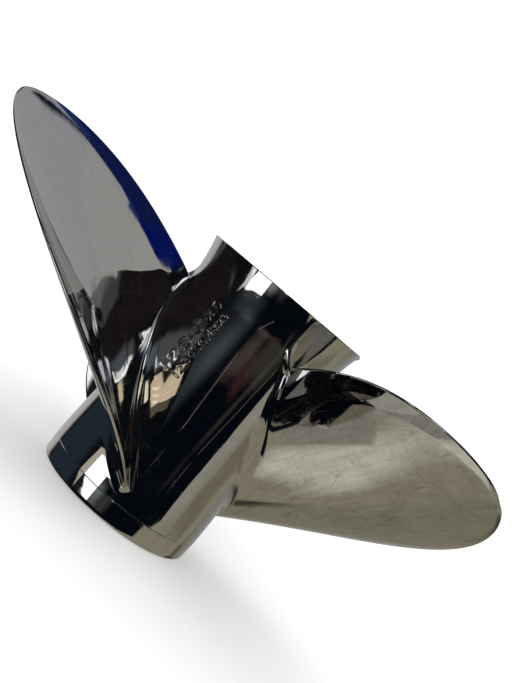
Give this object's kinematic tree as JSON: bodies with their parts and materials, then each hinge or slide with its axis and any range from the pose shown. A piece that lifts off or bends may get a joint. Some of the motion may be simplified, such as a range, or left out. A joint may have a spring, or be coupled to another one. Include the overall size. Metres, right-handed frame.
{
  "type": "ship propeller",
  "caption": "Polished stainless propeller with skewed, cupped blades on a hollow hub that lets exhaust out, with a rubber-bushed splined sleeve inside.",
  "frame": {"origin": "on the shaft axis, in the plane of the hub's forward end, which the propeller stands on", "axes": "+Z along the shaft axis towards astern, from the forward end to the flared exhaust end"},
  "size_m": [0.3657, 0.3485, 0.1705],
  "materials": {
    "polished_stainless": "polished to a mirror",
    "cast_stainless": "as cast, satin",
    "black_rubber": "moulded, matt",
    "sleeve_brass": "broached, dull"
  },
  "bodies": {
    "root": {"barrel": "polished_stainless", "blade_1": "polished_stainless", "blade_2": "polished_stainless", "blade_3": "polished_stainless", "inner_hub": "cast_stainless", "rib_1": "cast_stainless", "rib_2": "cast_stainless", "rib_3": "cast_stainless", "rubber_bushing": "black_rubber", "splined_sleeve": "sleeve_brass"}
  },
  "joints": []
}
